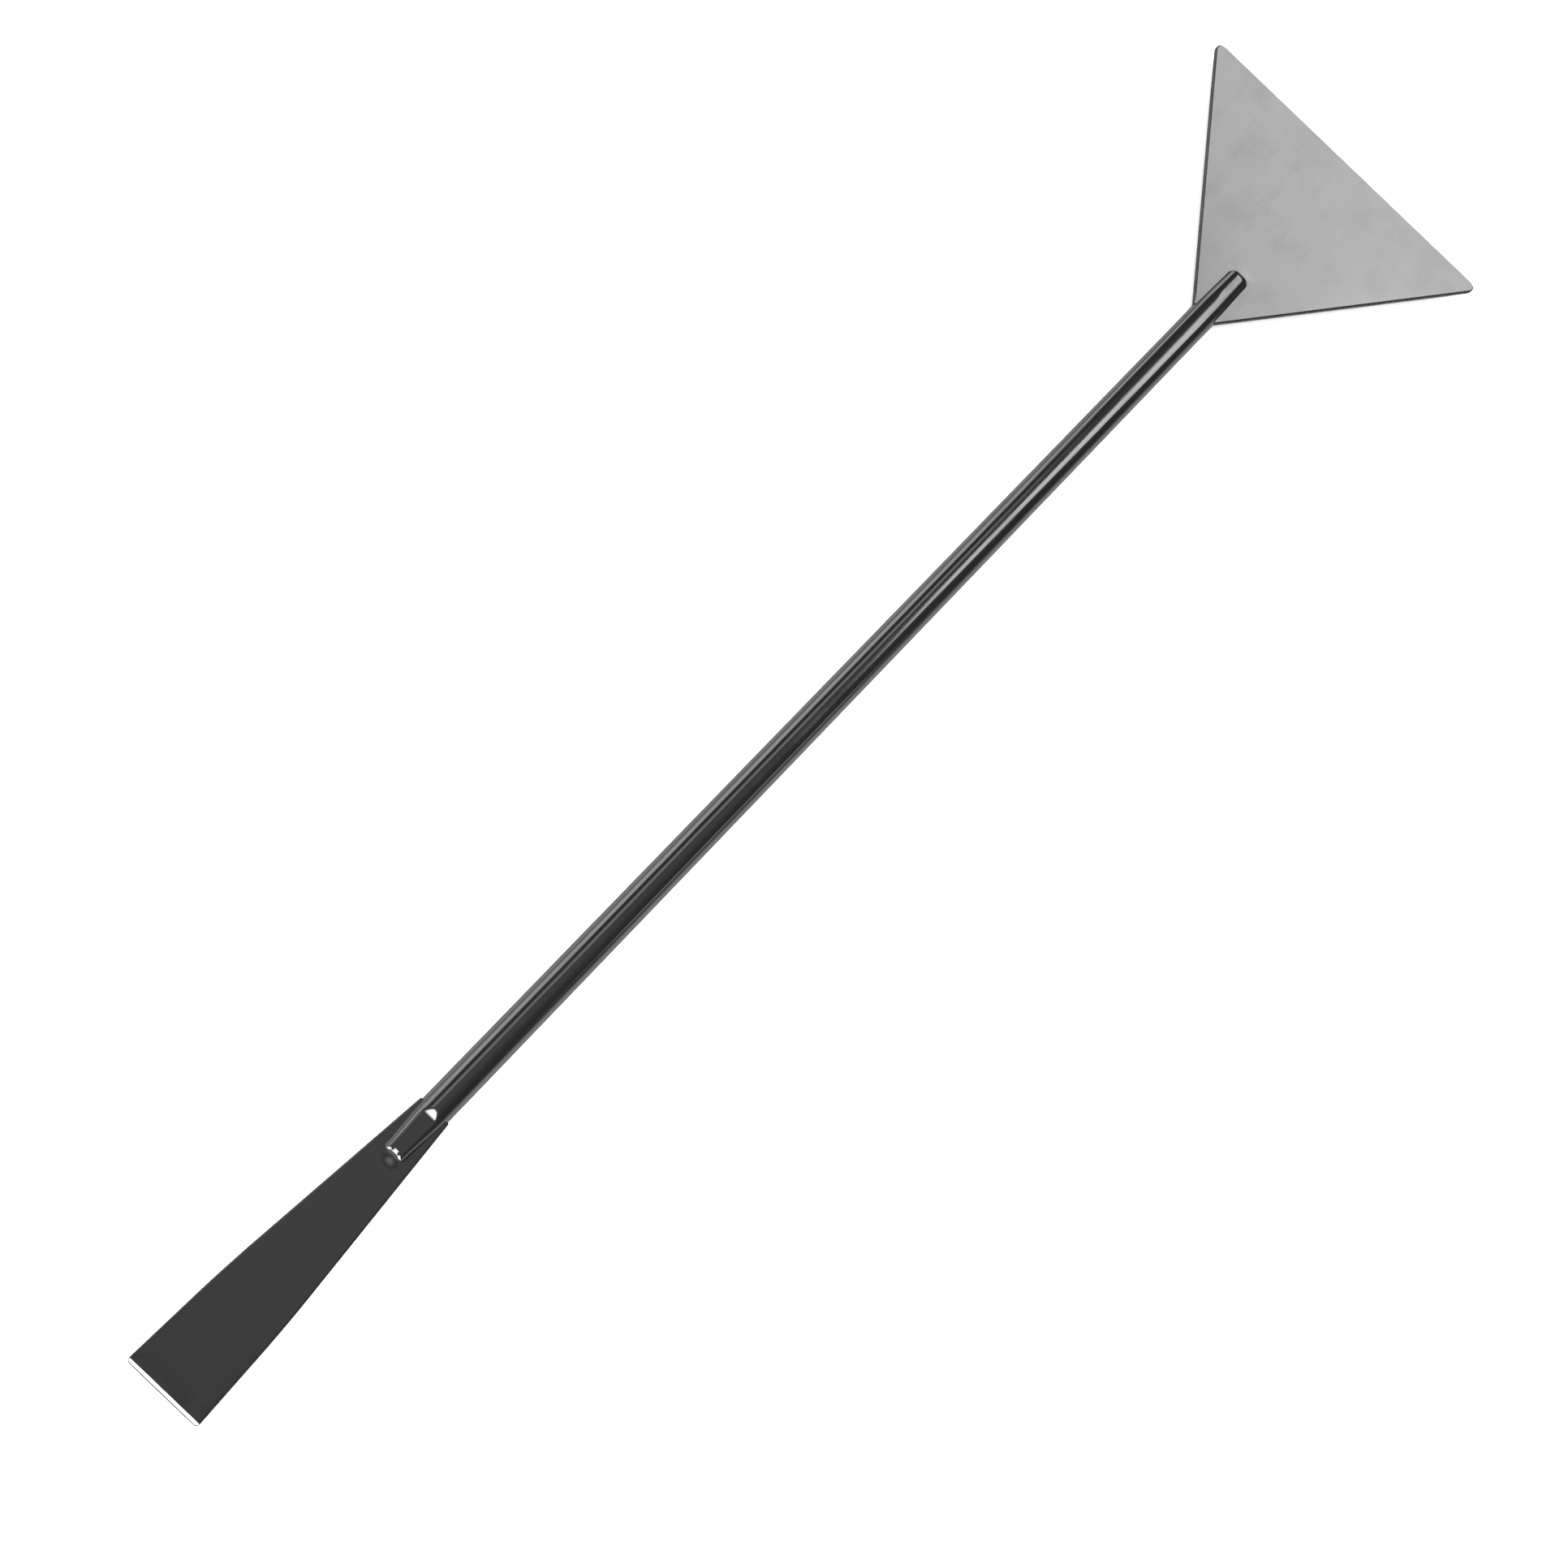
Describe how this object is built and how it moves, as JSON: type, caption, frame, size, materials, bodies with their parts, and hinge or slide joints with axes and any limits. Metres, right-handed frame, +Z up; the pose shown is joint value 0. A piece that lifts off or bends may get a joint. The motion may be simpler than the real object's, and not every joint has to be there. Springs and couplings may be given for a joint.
{
  "type": "algae scraper",
  "caption": "Slim two-ended stainless tool with a triangular sand levelling blade at one end of a thin tube and a narrow tapered scraper at the other.",
  "frame": {"origin": "midway along the tool, on its middle line, level with the lowest line of the tube", "axes": "+X along the tool towards the triangular blade, +Y across it, +Z up out of the blades' faces, on the side of the tongues"},
  "size_m": [0.32, 0.063, 0.005],
  "materials": {
    "polished_tube": "mirror-polished stainless tube",
    "polished_blade": "finely polished stainless sheet with buffed edges",
    "weld_metal": "cleaned stainless weld metal, slightly dull"
  },
  "bodies": {
    "root": {"handle_tube": "polished_tube", "sand_blade": "polished_blade", "scraper_blade": "polished_blade", "sand_blade_tacks": "weld_metal", "scraper_tacks": "weld_metal"}
  },
  "joints": []
}
